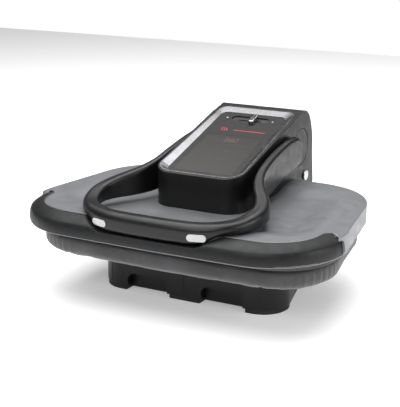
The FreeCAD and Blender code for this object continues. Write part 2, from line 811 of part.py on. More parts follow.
def make_tower_shell():
    body = new_body("tower_shell")
    half = size["tower_half_width"]
    inner = half - size["tower_wall"]
    pad(body, add_sketch(body, "YZ_Plane", tower_profile(0), "0"), str(2 * half), both_ways=True)
    hollow = tower_profile(size["tower_wall"], drop_to=110)
    pocket(body, add_sketch(body, "YZ_Plane", hollow, "0"), str(2 * inner), both_ways=True)
    bore_across(body, size["hinge_back"], size["hinge_height"],
                size["hinge_pin_radius"] + size["running_gap"], 200)
    cut_hub_recesses(body)
    well = sloped_sketch(body, bezel_outer(1.2), drop=-5)
    pocket(body, well, "20")
    return body


def make_tower_caps():
    """Flush round covers over the linkage, one in each cheek of the tower."""
    body = new_body("tower_caps")
    body.AllowCompound = True
    for side in (-1, 1):
        middle = side * (size["tower_half_width"] - HUB_RECESS + 0.9)
        cylinder_across(body, HUB_BACK, HUB_HEIGHT, HUB_RADIUS - 1.6, 1.8, middle)
    return body


def make_lever_bushes():
    body = new_body("lever_bushes")
    body.AllowCompound = True
    for side in (-1, 1):
        ring = circle(size["lever_back"], size["lever_height"], BUSH_RADIUS)
        ring += circle(size["lever_back"], size["lever_height"],
                       size["lever_shaft_radius"] + size["running_gap"])
        pad(body, add_sketch(body, "YZ_Plane", ring, str(side * 90.0)), "4", both_ways=True)
    return body


# The control panel lies a little below the arm's sloping top, at its own pitch.
PANEL_ORIGIN_BACK = -28.3
PANEL_ORIGIN_HEIGHT = 228.0
PANEL_PITCH = 16.1
PANEL_LENGTH = 252.0


def new_panel_body(label):
    """Body drawn flat in the panel's own plane: X across, Y up the slope."""
    body = doc.addObject("PartDesign::Body", label)
    body.Label = label
    turn = Rotation(Vector(1, 0, 0), PANEL_PITCH)
    body.Placement = Placement(Vector(0, 0, PANEL_ORIGIN_HEIGHT), turn)
    body.setExpression("Placement.Base.y", ref(f"($datum_shift + {PANEL_ORIGIN_BACK}) * 1mm"))
    pieces.append(body)
    return body


def panel_outline(inset):
    return rounded_loop(mirrored([
        (72.6 - inset, inset, 20 - inset),
        (70.1 - inset, PANEL_LENGTH - inset, 14 - inset),
    ]))


def window_outline(inset):
    return rounded_loop(mirrored([
        (60.5 - inset, 11.7 + inset, 5),
        (59.3 - inset, 155.9 - inset, 10),
    ]))


SLOT_ALONG = 230.0
SLOT_HALF = 40.0


def make_control_panel():
    body = new_panel_body("control_panel")
    pad(body, add_sketch(body, "XY_Plane", panel_outline(-1), "-2.4"), "2.4")
    pocket(body, add_sketch(body, "XY_Plane", window_outline(-0.1), "1"), "3")
    lens_places = [(side * 49.7, 228.0) for side in (-1, 1)]
    lenses = [edge for x, y in lens_places for edge in circle(x, y, 1.9)]
    pocket(body, add_sketch(body, "XY_Plane", lenses, "1"), "5")
    slot = obround(0, SLOT_ALONG, SLOT_HALF - 9, 9)
    pocket(body, add_sketch(body, "XY_Plane", slot, "1"), "5")
    return body


def make_slider_track():
    """Shallow tray under the slider, with the slot that its stem runs in."""
    body = new_panel_body("slider_track")
    pad(body, add_sketch(body, "XY_Plane", obround(0, SLOT_ALONG, SLOT_HALF - 7, 11.5), "-5.4"),
        "3")
    pocket(body, add_sketch(body, "XY_Plane", obround(0, SLOT_ALONG - 3, 24, 1.6), "-1"), "8")
    return body


def make_indicator_lenses():
    body = new_panel_body("indicator_lenses")
    body.AllowCompound = True
    lenses = [edge for side in (-1, 1) for edge in circle(side * 49.7, 228.0, 1.8)]
    pad(body, add_sketch(body, "XY_Plane", lenses, "-2.4"), "2.7")
    return body


def make_display_window():
    body = new_panel_body("display_window")
    pad(body, add_sketch(body, "XY_Plane", window_outline(0), "-1.9"), "1.8")
    return body


def make_display_board():
    body = new_panel_body("display_board")
    board = rounded_loop([(-56, 16, 1), (56, 16, 1), (56, 152, 1), (-56, 152, 1)])
    pad(body, add_sketch(body, "XY_Plane", board, "-7.6"), "1.6")
    digits = rounded_loop([(-26, 112, 0), (26, 112, 0), (26, 136, 0), (-26, 136, 0)])
    for x in (-36, -12, 12, 36):
        digits += rounded_loop([(x - 6, 40, 0), (x + 6, 40, 0), (x + 6, 52, 0), (x - 6, 52, 0)])
    pad(body, add_sketch(body, "XY_Plane", digits, "-6"), "3.4")
    return body


def make_main_board():
    body = new_body("main_board")
    board = rounded_loop([(-58, -14, 2), (58, -14, 2), (58, 96, 2), (-58, 96, 2)])
    pad(body, add_sketch(body, "XY_Plane", board, "176"), "1.6")
    blocks = []
    for x, y, wide, deep in ((-36, 10, 26, 20), (0, 20, 18, 18), (34, 14, 22, 28), (-30, 60, 34, 26)):
        blocks += rounded_loop([(x - wide / 2, y - deep / 2, 0), (x + wide / 2, y - deep / 2, 0),
                                (x + wide / 2, y + deep / 2, 0), (x - wide / 2, y + deep / 2, 0)])
    pad(body, add_sketch(body, "XY_Plane", blocks, "177.6"), "14")
    return body


def make_board_standoffs():
    body = new_body("board_standoffs")
    body.AllowCompound = True
    posts = [edge for x in (-52, 52) for y in (-8, 90) for edge in circle(x, y, 3)]
    pad(body, add_sketch(body, "XY_Plane", posts, "169"), "7")
    return body


def make_bezel():
    """Bright frame that falls from the arm's top edge to the control panel."""
    body = new_body("panel_bezel")
    ring = sloped_sketch(body, bezel_outer(1.3), drop=9.5)
    pad(body, ring, "9.7")
    turn = Rotation(Vector(1, 0, 0), PANEL_PITCH)
    base = Vector(0, PANEL_ORIGIN_BACK, PANEL_ORIGIN_HEIGHT)
    mouth = sloped_sketch(body, bezel_outer(3.2), drop=-0.3)
    seat = body.newObject("Sketcher::SketchObject", "panel_bezel_seat")
    seat.AttachmentSupport = [(origin_plane(body, "XY_Plane"), "")]
    seat.MapMode = "FlatFace"
    seat.AttachmentOffset = Placement(base, turn)
    seat.addGeometry(panel_outline(0), False)
    slope_cut = body.newObject("PartDesign::SubtractiveLoft", "panel_bezel_slope")
    slope_cut.Profile = mouth
    slope_cut.Sections = [seat]
    slope_cut.Ruled = True
    doc.recompute()
    drop = body.newObject("Sketcher::SketchObject", "panel_bezel_drop")
    drop.AttachmentSupport = [(origin_plane(body, "XY_Plane"), "")]
    drop.MapMode = "FlatFace"
    drop.AttachmentOffset = Placement(base + turn.multVec(Vector(0, 0, 0.05)), turn)
    drop.addGeometry(panel_outline(-1.05), False)
    pocket(body, drop, "14")
    return body


# ---------------------------------------------------------------- slider

KNOB_ACROSS = 9.5
KNOB_ALONG = 224.0


def make_slider_knob():
    body = new_panel_body("slider_knob")
    pad(body, add_sketch(body, "XY_Plane", obround(KNOB_ACROSS, KNOB_ALONG, 9, 6.2, across=False),
                         "0.4"), "7.6")
    round_edges(body, at_level(8.0), "2.2")
    stem = rounded_loop([(KNOB_ACROSS - 4, SLOT_ALONG - 4.2, 0), (KNOB_ACROSS + 4, SLOT_ALONG - 4.2, 0),
                         (KNOB_ACROSS + 4, SLOT_ALONG - 1.8, 0), (KNOB_ACROSS - 4, SLOT_ALONG - 1.8, 0)])
    pad(body, add_sketch(body, "XY_Plane", stem, "-8"), "8.6")
    return body


# ---------------------------------------------------------------- handle

# Stations along the right half of the loop, from its front middle to the arm's
# end: x, back, width, underside height, top height, corner radius.
LOOP_STATIONS = [
    (0, -211, 30.5, 160.5, 196, 11),
    (51, -210, 30.5, 160.5, 196, 11),
    (92, -204, 30.5, 161, 196, 11),
    (125, -189, 30.5, 176.4, 197.5, 10),
    (148.5, -164, 30, 176.8, 200, 10.5),
    (161, -133, 29, 177.5, 206, 10),
    (161.5, -104, 28, 178, 212, 10),
    (151, -75, 26.5, 178, 218.5, 9),
    (134.5, -49, 24.5, 178, 225.5, 9),
    (120, -22, 21, 178.5, 232.5, 8),
    (110, 9, 16.5, 180.5, 241, 7),
    (106, 46, 15, 186.5, 251, 6),
    (103.5, 97, 15, 196, 261.5, 6),
    (102.5, 145, 15, 206, 268.5, 6),
]
ARM_END_RADIUS = 30.0
ARM_MIDDLE = 102.5
ARM_WIDTH = 15.0


def loop_section(width, low, high, radius):
    half = width / 2
    return rounded_loop([(-half, low, radius * 0.75), (half, low, radius * 0.75),
                         (half, high, radius), (-half, high, radius)])


def blend(before, start, end, after, share):
    """Catmull-Rom value between two stations' numbers."""
    return tuple(
        0.5 * (2 * b + (c - a) * share + (2 * a - 5 * b + 4 * c - d) * share ** 2
               + (3 * b - a - 3 * c + d) * share ** 3)
        for a, b, c, d in zip(before, start, end, after))


def loop_sections(steps=2):
    """Planes and sizes round the whole loop, from the left arm to the right arm."""
    left = [(-x, *rest) for x, *rest in reversed(LOOP_STATIONS[1:])]
    whole = left + LOOP_STATIONS
    fine = []
    for index in range(len(whole) - 1):
        before = whole[max(index - 1, 0)]
        after = whole[min(index + 2, len(whole) - 1)]
        for step in range(steps):
            fine.append(blend(before, whole[index], whole[index + 1], after, step / steps))
    fine.append(whole[-1])
    placed = []
    for index, (x, back, width, low, high, radius) in enumerate(fine):
        before = Vector(*fine[max(index - 1, 0)][:2], 0)
        after = Vector(*fine[min(index + 1, len(fine) - 1)][:2], 0)
        heading = (after - before).normalize()
        if index in (0, len(fine) - 1):
            heading = Vector(0, math.copysign(1, heading.y), 0)
        yaw = math.degrees(math.atan2(heading.y, heading.x))
        turn = Rotation(Vector(0, 0, 1), yaw + 90).multiply(Rotation(Vector(1, 0, 0), 90))
        placed.append((Placement(Vector(x, back, 0), turn), width, low, high, radius))
    return placed


def loop_loft(body, kind, name, sections, inset):
    """Ruled loft through the loop's sections, drawn in by an inset."""
    sketches = []
    for placement, width, low, high, radius in sections:
        sketch = body.newObject("Sketcher::SketchObject", name + "_section")
        sketch.AttachmentSupport = [(origin_plane(body, "XY_Plane"), "")]
        sketch.MapMode = "FlatFace"
        sketch.AttachmentOffset = placement
        sketch.addGeometry(loop_section(width - 2 * inset, low + inset, high - inset,
                                        radius - inset), False)
        sketches.append(sketch)
    loft = body.newObject(kind, name)
    loft.Profile = sketches[0]
    loft.Sections = sketches[1:]
    loft.Ruled = True
    doc.recompute()


INSERT_X = 96.2
INSERT_BACK = -218.8
INSERT_HEIGHT = 174.7
INSERT_TURN = 15.7


def insert_sketch(body, side, inset, outwards):
    """Obround in the front face of the grip, on a plane outwards from it."""
    turn = Rotation(Vector(0, 0, 1), side * INSERT_TURN).multiply(Rotation(Vector(1, 0, 0), 90))
    face = Vector(side * INSERT_X, INSERT_BACK, INSERT_HEIGHT)
    sketch = body.newObject("Sketcher::SketchObject", body.Name + "_inlay")
    sketch.AttachmentSupport = [(origin_plane(body, "XY_Plane"), "")]
    sketch.MapMode = "FlatFace"
    sketch.AttachmentOffset = Placement(face + turn.multVec(Vector(0, 0, outwards)), turn)
    sketch.addGeometry(obround(0, 0, 10.5, 6.5 - inset), False)
    return sketch


def make_handle_loop():
    """Moulded loop, hollow inside, with an arm end on each side of the tower."""
    body = new_body("handle_loop")
    sections = loop_sections()
    loop_loft(body, "PartDesign::AdditiveLoft", "loop_skin", sections, 0.0)
    loop_loft(body, "PartDesign::SubtractiveLoft", "loop_hollow", sections[5:-5], 3.2)
    shaft = (size["lever_back"], size["lever_height"])
    for side in (-1, 1):
        end = rounded_loop([(138, 204.9, 0), (160, 207.8, 0), (178, 210.5, 0),
                            (178, 267.5, 0), (138, 267.8, 0)])
        place = str(side * ARM_MIDDLE)
        pad(body, add_sketch(body, "YZ_Plane", end, place), str(ARM_WIDTH + 0.4), both_ways=True)
        cylinder_across(body, *shaft, ARM_END_RADIUS, ARM_WIDTH + 0.8, side * ARM_MIDDLE)
        bore_across(body, *shaft, size["lever_shaft_radius"], ARM_WIDTH - 4,
                    side * (ARM_MIDDLE - 2.5))
        pocket(body, insert_sketch(body, side, 0.0, 4.0), "5.6")
    return body


def make_handle_inserts():
    """Bright obround inlays in the front of the grip."""
    body = new_body("handle_inserts")
    body.AllowCompound = True
    for side in (-1, 1):
        pad(body, insert_sketch(body, side, 0.1, -1.5), "2.1")
    return body


def make_lever_shaft():
    body = new_body("lever_shaft")
    cylinder_across(body, size["lever_back"], size["lever_height"], size["lever_shaft_radius"],
                    2 * (ARM_MIDDLE + 2.5))
    return body


CRANK_MIDDLE = 54.0
LINK_MIDDLE = 60.0
PLATE_SHEET = 4.0


def strap(start, end, radius):
    """Side outline of a flat bar with round ends."""
    along = (end - start).normalize()
    across = Vector(-along.y, along.x, 0)
    return [
        Part.LineSegment(start + across * radius, end + across * radius),
        Part.Arc(end + across * radius, end + along * radius, end - across * radius),
        Part.LineSegment(end - across * radius, start - across * radius),
        Part.Arc(start - across * radius, start - along * radius, start + across * radius),
    ]


LINK_PLAY = 2.3


def make_lever_cranks():
    body = new_body("lever_cranks")
    body.AllowCompound = True
    shaft = Vector(size["lever_back"], size["lever_height"], 0)
    crank = Vector(size["crank_back"], size["crank_height"], 0)
    for side in (-1, 1):
        outline = strap(shaft, crank, 12)
        outline += circle(shaft.x, shaft.y, size["lever_shaft_radius"])
        outline += circle(crank.x, crank.y, size["link_pin_radius"])
        pad(body, add_sketch(body, "YZ_Plane", outline, str(side * CRANK_MIDDLE)),
            str(PLATE_SHEET), both_ways=True)
    return body


def make_crank_pins():
    body = new_body("crank_pins")
    body.AllowCompound = True
    for side in (-1, 1):
        cylinder_across(body, size["crank_back"], size["crank_height"], size["link_pin_radius"],
                        13, side * (CRANK_MIDDLE + LINK_MIDDLE) / 2)
    return body


def make_pull_links():
    """The two links; each lower hole is wider than the anchor pin inside it."""
    body = new_body("pull_links")
    body.AllowCompound = True
    crank = Vector(size["crank_back"], size["crank_height"], 0)
    anchor = Vector(size["anchor_back"], size["anchor_height"], 0)
    for side in (-1, 1):
        outline = strap(crank, anchor, 10)
        outline += circle(crank.x, crank.y, size["link_pin_radius"] + size["running_gap"])
        outline += circle(anchor.x, anchor.y, size["link_pin_radius"] + LINK_PLAY)
        pad(body, add_sketch(body, "YZ_Plane", outline, str(side * LINK_MIDDLE)),
            str(PLATE_SHEET), both_ways=True)
    return body


# ---------------------------------------------------------------- build

make_base_housing()
make_base_feet()
make_base_plate()
make_base_screws()
make_board_tray()
make_foam_pad()
make_board_cover()
make_hinge_bracket()
make_bracket_screws()
make_column_cover()
make_hinge_pin()
make_hinge_caps()
make_hinge_washers()
make_anchor_pin()
make_power_inlet()
make_top_cover()
make_front_bumper()
make_lip_trim()
make_heat_shield()
make_platen()
make_heating_element()
make_insulation()
make_platen_posts()
make_post_screws()
make_thermostat()
make_thermal_fuse()
make_head_frame()
make_control_housing()
make_tower_shell()
make_tower_caps()
make_lever_bushes()
make_bezel()
make_control_panel()
make_display_window()
make_display_board()
make_indicator_lenses()
make_slider_track()
make_main_board()
make_board_standoffs()
make_slider_knob()
make_handle_loop()
make_handle_inserts()
make_lever_shaft()
make_lever_cranks()
make_crank_pins()
make_pull_links()
doc.recompute()

for item in doc.Objects:
    if "Invalid" in item.State or "Error" in item.State:
        raise RuntimeError(f"{item.Name} did not build: {item.State}")
for piece in pieces:
    if piece.Shape.isNull() or not piece.Shape.isValid() or not piece.Shape.Solids:
        raise RuntimeError(f"{piece.Label} has no valid solid")

os.makedirs("parts", exist_ok=True)
for piece in pieces:
    piece.Shape.exportStep(os.path.join("parts", piece.Label + ".step"))
    print(piece.Label, len(piece.Shape.Solids), round(piece.Shape.Volume / 1000, 1), "cm3")
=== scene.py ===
import json
import math

import bmesh
import bpy
from mathutils import Matrix, Vector, kdtree, noise
from mathutils.bvhtree import BVHTree


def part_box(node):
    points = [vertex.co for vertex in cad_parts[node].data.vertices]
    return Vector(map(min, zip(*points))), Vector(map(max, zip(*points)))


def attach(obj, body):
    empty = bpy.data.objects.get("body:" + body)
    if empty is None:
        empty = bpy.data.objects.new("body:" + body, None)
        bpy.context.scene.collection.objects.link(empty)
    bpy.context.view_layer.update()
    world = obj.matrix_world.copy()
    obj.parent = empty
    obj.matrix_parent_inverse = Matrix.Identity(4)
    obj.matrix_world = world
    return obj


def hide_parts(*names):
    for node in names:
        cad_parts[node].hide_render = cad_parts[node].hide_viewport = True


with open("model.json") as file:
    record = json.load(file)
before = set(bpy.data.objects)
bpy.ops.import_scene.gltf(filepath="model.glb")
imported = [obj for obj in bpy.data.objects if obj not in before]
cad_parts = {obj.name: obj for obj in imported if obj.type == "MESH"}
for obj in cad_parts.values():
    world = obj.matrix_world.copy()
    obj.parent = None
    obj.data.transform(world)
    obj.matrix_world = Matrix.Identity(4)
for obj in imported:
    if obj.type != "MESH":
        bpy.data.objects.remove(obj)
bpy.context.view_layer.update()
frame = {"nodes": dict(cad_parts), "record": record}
nodes = frame["nodes"]

MM = 0.001
HINGE_BACK = 261.4
pin_low, pin_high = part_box("hinge_pin")
SHIFT = (pin_low.y + pin_high.y) / 2 / MM - HINGE_BACK


def at(x, back, z):
    """Place in metres of a point given in millimetres about the plate's datum."""
    return Vector((x * MM, (back + SHIFT) * MM, z * MM))


# ---------------------------------------------------------------- materials

def new_material(name):
    mat = bpy.data.materials.new(name)
    mat.use_nodes = True
    tree = mat.node_tree
    tree.nodes.clear()
    out = tree.nodes.new("ShaderNodeOutputMaterial")
    shader = tree.nodes.new("ShaderNodeBsdfPrincipled")
    tree.links.new(shader.outputs["BSDF"], out.inputs["Surface"])
    return mat, tree, shader


def noise_node(tree, scale, detail=3.0, stretch=None):
    """Noise in the object's own space, its scale in features per metre."""
    coord = tree.nodes.new("ShaderNodeTexCoord")
    tex = tree.nodes.new("ShaderNodeTexNoise")
    tex.inputs["Scale"].default_value = scale
    tex.inputs["Detail"].default_value = detail
    source = coord.outputs["Object"]
    if stretch:
        mapping = tree.nodes.new("ShaderNodeMapping")
        mapping.inputs["Scale"].default_value = stretch
        tree.links.new(source, mapping.inputs["Vector"])
        source = mapping.outputs["Vector"]
    tree.links.new(source, tex.inputs["Vector"])
    return tex.outputs["Fac"]


def ramp(tree, fac, low, high, start=0.35, end=0.65):
    """Spread a 0-1 value onto low..high."""
    node = tree.nodes.new("ShaderNodeMapRange")
    node.inputs["From Min"].default_value = start
    node.inputs["From Max"].default_value = end
    node.inputs["To Min"].default_value = low
    node.inputs["To Max"].default_value = high
    tree.links.new(fac, node.inputs["Value"])
    return node.outputs["Result"]


def tint(tree, fac, dark, light):
    node = tree.nodes.new("ShaderNodeMix")
    node.data_type = "RGBA"
    node.inputs[6].default_value = (*dark, 1)
    node.inputs[7].default_value = (*light, 1)
    tree.links.new(fac, node.inputs[0])
    return node.outputs[2]


def bump(tree, height, distance, strength=1.0, onto=None):
    node = tree.nodes.new("ShaderNodeBump")
    node.inputs["Strength"].default_value = strength
    node.inputs["Distance"].default_value = distance
    tree.links.new(height, node.inputs["Height"])
    if onto is not None:
        tree.links.new(onto, node.inputs["Normal"])
    return node.outputs["Normal"]


def scaled(colour, factor):
    return tuple(min(1.0, part * factor) for part in colour)


def surface(name, colour, rough, metallic=0.0, grain=2500.0, depth=0.00003, mottle=0.12,
            spread=0.06, stretch=None, coat=0.0, sheen=0.0, specular=0.5, edge_wear_and_highlight=0.0):
    """Solid finish with grain in its bump, its colour and its roughness."""
    mat, tree, shader = new_material(name)
    broad = noise_node(tree, 14.0, 4.0)
    fine = noise_node(tree, grain, 2.0, stretch)
    colour_out = tint(tree, ramp(tree, broad, 0.0, 1.0), scaled(colour, 1 - mottle),
                      scaled(colour, 1 + mottle))
    # Convex edges, found by pointiness, are lightened towards 3.5 times the colour: partly edge
    # wear, partly a painted highlight along the edges.
    if edge_wear_and_highlight:
        edge = tree.nodes.new("ShaderNodeNewGeometry").outputs["Pointiness"]
        mask = ramp(tree, edge, 0.0, edge_wear_and_highlight, 0.53, 0.6)
        mix = tree.nodes.new("ShaderNodeMix")
        mix.data_type = "RGBA"
        tree.links.new(mask, mix.inputs[0])
        tree.links.new(colour_out, mix.inputs[6])
        mix.inputs[7].default_value = (*scaled(colour, 3.5), 1)
        colour_out = mix.outputs[2]
    tree.links.new(colour_out, shader.inputs["Base Color"])
    tree.links.new(ramp(tree, noise_node(tree, 60.0, 5.0), rough - spread, rough + spread),
                   shader.inputs["Roughness"])
    tree.links.new(bump(tree, fine, depth), shader.inputs["Normal"])
    shader.inputs["Metallic"].default_value = metallic
    shader.inputs["Specular IOR Level"].default_value = specular
    shader.inputs["Coat Weight"].default_value = coat
    shader.inputs["Coat Roughness"].default_value = 0.15
    shader.inputs["Sheen Weight"].default_value = sheen
    return mat


BLACK = (0.0055, 0.0056, 0.006)

# The black shells and the handle get lightened convex edges: partly wear, partly painted highlight.
MATERIALS = {
    "black_shell": surface("black_shell", BLACK, 0.4, grain=2200.0, specular=0.3, edge_wear_and_highlight=0.3),
    "handle_black": surface("handle_black", (0.006, 0.0062, 0.0068), 0.34, grain=1800.0,
                            depth=0.00004, specular=0.4, edge_wear_and_highlight=0.3),
    "silver_cover": surface("silver_cover", (0.2, 0.205, 0.215), 0.42, metallic=0.35,
                            grain=4000.0, depth=0.00001, mottle=0.04),
    "dark_trim": surface("dark_trim", (0.02, 0.02, 0.022), 0.5),
    "rubber_feet": surface("rubber_feet", (0.01, 0.01, 0.01), 0.7, grain=900.0, depth=0.0001),
    "steel": surface("steel", (0.5, 0.5, 0.51), 0.3, metallic=1.0, grain=900.0,
                     stretch=(0.1, 1.0, 1.0)),
    "zinc_plate": surface("zinc_plate", (0.05, 0.05, 0.053), 0.42, metallic=0.6, grain=700.0),
    "chrome": surface("chrome", (0.5, 0.5, 0.51), 0.16, metallic=1.0, grain=300.0,
                      depth=0.000005, mottle=0.03, spread=0.04),
    "bright_lip": surface("bright_lip", (0.45, 0.45, 0.46), 0.28, metallic=0.9, grain=500.0,
                          mottle=0.05),
    "platen_metal": surface("platen_metal", (0.05, 0.05, 0.052), 0.4, metallic=0.5, grain=800.0),
    "element_sheath": surface("element_sheath", (0.25, 0.22, 0.2), 0.4, metallic=1.0),
    "board_fabric": surface("board_fabric_plain", (0.08, 0.08, 0.085), 0.9, sheen=0.3),
    "foam": surface("foam", (0.35, 0.34, 0.3), 0.95, grain=500.0, depth=0.0004),
    "glass_wool": surface("glass_wool", (0.6, 0.55, 0.4), 0.95, grain=300.0, depth=0.0006),
    "smoked_window": surface("smoked_window", (0.02, 0.018, 0.016), 0.3, grain=400.0,
                             depth=0.000002, mottle=0.05, spread=0.02, specular=0.3),
    "circuit_board": surface("circuit_board", (0.01, 0.09, 0.03), 0.35, grain=900.0),
    "clear_lens": surface("clear_lens", (0.7, 0.7, 0.7), 0.2, grain=500.0, depth=0.00001),
    "bush_plastic": surface("bush_plastic", (0.5, 0.5, 0.46), 0.5),
    "ceramic_white": surface("ceramic_white", (0.75, 0.74, 0.7), 0.6, grain=600.0),
}

# The bumper gets lightened convex edges: partly wear, partly painted highlight.
MATERIALS["bumper_black"] = surface("bumper_black", (0.0085, 0.009, 0.0098), 0.44, grain=1500.0,
                                    depth=0.00005, specular=0.3, edge_wear_and_highlight=0.3)
MATERIALS["edge_bead"] = surface("edge_bead", (0.2, 0.2, 0.21), 0.35, metallic=0.6,
                                 grain=500.0, mottle=0.04)
MATERIALS["board_cloth"] = surface("board_cloth", (0.062, 0.062, 0.065), 0.92, grain=1600.0,
                                   depth=0.00012, mottle=0.22, sheen=0.4)

MATERIALS["seam_black"] = surface("seam_black", (0.003, 0.003, 0.003), 0.6, grain=900.0)
MATERIALS["mark_red"] = surface("mark_red", (0.42, 0.012, 0.014), 0.4, grain=900.0, mottle=0.08)
MATERIALS["display_glow"] = surface("display_glow", (0.13, 0.085, 0.065), 0.5, grain=900.0)
MATERIALS["display_faint"] = surface("display_faint", (0.05, 0.042, 0.035), 0.5, grain=900.0)
MATERIALS["bezel_chrome"] = surface("bezel_chrome", (0.26, 0.26, 0.27), 0.24, metallic=1.0,
                                    grain=300.0, depth=0.000005, mottle=0.03, spread=0.04)

node_slot = {part["node"]: part["material_slot"] for part in frame["record"]["subparts"]}
for node, obj in nodes.items():
    obj.data.materials.clear()
    obj.data.materials.append(MATERIALS[node_slot[node]])
nodes["panel_bezel"].data.materials[0] = MATERIALS["bezel_chrome"]


# ---------------------------------------------------------------- stage

ROOM_LIGHT = 0.16


def make_stage():
    size = 6.0
    bpy.ops.mesh.primitive_plane_add(size=size, location=(0, 0, 0))
    floor = bpy.context.object
    floor.name = "floor"
    mat, tree, shader = new_material("pale_floor")
    tree.links.new(tint(tree, noise_node(tree, 3.0), (0.9, 0.9, 0.9), (0.93, 0.93, 0.93)),
                   shader.inputs["Base Color"])
    shader.inputs["Roughness"].default_value = 0.8
    shader.inputs["Emission Color"].default_value = (1, 1, 1, 1)
    shader.inputs["Emission Strength"].default_value = 0.3
    floor.data.materials.append(mat)
    world = bpy.data.worlds.new("studio")
    world.use_nodes = True
    tree = world.node_tree
    dim = tree.nodes["Background"]
    dim.inputs["Color"].default_value = (1, 1, 1, 1)
    dim.inputs["Strength"].default_value = ROOM_LIGHT
    backdrop = tree.nodes.new("ShaderNodeBackground")
    backdrop.inputs["Color"].default_value = (1, 1, 1, 1)
    backdrop.inputs["Strength"].default_value = 1.0
    seen = tree.nodes.new("ShaderNodeLightPath").outputs["Is Camera Ray"]
    mix = tree.nodes.new("ShaderNodeMixShader")
    tree.links.new(seen, mix.inputs[0])
    tree.links.new(dim.outputs[0], mix.inputs[1])
    tree.links.new(backdrop.outputs[0], mix.inputs[2])
    tree.links.new(mix.outputs[0], tree.nodes["World Output"].inputs["Surface"])
    bpy.context.scene.world = world
    bpy.context.scene.view_settings.view_transform = "Standard"


def area_light(name, place, target, width, depth, power):
    data = bpy.data.lights.new(name, "AREA")
    data.shape = "RECTANGLE"
    data.size = width
    data.size_y = depth
    data.energy = power
    lamp = bpy.data.objects.new(name, data)
    lamp.location = place
    aim = Vector(target) - Vector(place)
    lamp.rotation_euler = aim.to_track_quat("-Z", "Y").to_euler()
    bpy.context.scene.collection.objects.link(lamp)


def make_camera():
    data = bpy.data.cameras.new("camera")
    data.sensor_width = 36.0
    data.lens = 95.57
    camera = bpy.data.objects.new("camera", data)
    camera.location = (0.9045, -1.7719, 0.7363)
    camera.rotation_euler = (math.radians(90 - 16.269), 0, math.radians(27.876))
    bpy.context.scene.collection.objects.link(camera)
    bpy.context.scene.camera = camera


make_stage()
make_camera()
area_light("overhead_light", (-0.3, 0.0, 2.4), (0, 0, 0), 3.4, 3.0, 118)
area_light("right_light", (2.0, 0.1, 0.75), (0.1, 0, 0.15), 1.2, 0.9, 14)
area_light("front_light", (0.2, -2.6, 1.9), (0, 0, 0.0), 2.4, 0.9, 26)
area_light("rear_light", (0.2, 2.6, 2.3), (0, 0.3, 0.0), 2.6, 0.8, 10)


# ---------------------------------------------------------------- outlines, in millimetres

def rounded(corners, arc=14):
    """Closed outline through (x, y, radius) corners, with tangent arcs."""
    count = len(corners)
    points = []
    for index, (x, y, radius) in enumerate(corners):
        here = Vector((x, y))
        back = (Vector(corners[index - 1][:2]) - here).normalized()
        ahead = (Vector(corners[(index + 1) % count][:2]) - here).normalized()
        half = back.angle(ahead) / 2
        if radius <= 0 or abs(half - math.pi / 2) < 1e-5:
            points.append(here)
            continue
        reach = radius / math.tan(half)
        centre = here + (back + ahead).normalized() * (radius / math.sin(half))
        start = here + back * reach - centre
        turn = start.angle_signed(here + ahead * reach - centre)
        for step in range(arc + 1):
            spin = Matrix.Rotation(-turn * step / arc, 2)
            points.append(centre + spin @ start)
    return points


def mirrored(half):
    return half + [(-x, y, radius) for x, y, radius in reversed(half) if x > 0]


def resample(points, count, closed=True):
    """Points spread evenly along a polyline, from its first point."""
    path = points + [points[0]] if closed else points
    lengths = [0.0]
    for first, second in zip(path, path[1:]):
        lengths.append(lengths[-1] + (second - first).length)
    steps = count if closed else count - 1
    out = []
    place = 0
    for index in range(count):
        want = lengths[-1] * index / steps
        while place < len(lengths) - 2 and lengths[place + 1] < want:
            place += 1
        span = lengths[place + 1] - lengths[place]
        share = (want - lengths[place]) / span if span else 0.0
        out.append(path[place].lerp(path[place + 1], share))
    return out


def outward(points):
    """Unit normals that point out of an anticlockwise closed outline."""
    count = len(points)
    normals = []
    for index in range(count):
        along = points[(index + 1) % count] - points[index - 1]
        normals.append(Vector((along.y, -along.x)).normalized())
    return normals


def offset(points, normals, inset):
    return [point - normal * inset for point, normal in zip(points, normals)]


def plate_corners(corner_front, corner_rear):
    return mirrored([(0, -205, 1500), (328, -195, corner_front), (264.4, 209, corner_rear),
                     (0, 219, 1500)])


def smooth(share):
    share = min(1.0, max(0.0, share))
    return share * share * (3 - 2 * share)


# ---------------------------------------------------------------- mesh helpers

def new_piece(name, verts, faces, material, body, shade=40.0):
    mesh = bpy.data.meshes.new(name)
    mesh.from_pydata([tuple(vert) for vert in verts], [], faces)
    mesh.update()
    edit = bmesh.new()
    edit.from_mesh(mesh)
    bmesh.ops.recalc_face_normals(edit, faces=edit.faces)
    edit.to_mesh(mesh)
    edit.free()
    mesh.shade_smooth()
    mesh.set_sharp_from_angle(angle=math.radians(shade))
    mesh.materials.append(material)
    piece = bpy.data.objects.new(name, mesh)
    bpy.context.scene.collection.objects.link(piece)
    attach(piece, body)
    return piece


def loft(rings, closed_rings=True, closed_path=False, cap_start=False, cap_end=False):
    """Vertices and quads through rings of equal counts."""
    verts = [point for ring in rings for point in ring]
    count = len(rings[0])
    faces = []
    spans = len(rings) if closed_path else len(rings) - 1
    around = count if closed_rings else count - 1
    for row in range(spans):
        below = row * count
        above = (row + 1) % len(rings) * count
        for index in range(around):
            after = (index + 1) % count
            faces.append((below + index, below + after, above + after, above + index))
    if cap_start:
        faces.append(tuple(range(count))[::-1])
    if cap_end:
        last = (len(rings) - 1) * count
        faces.append(tuple(range(last, last + count)))
    return verts, faces


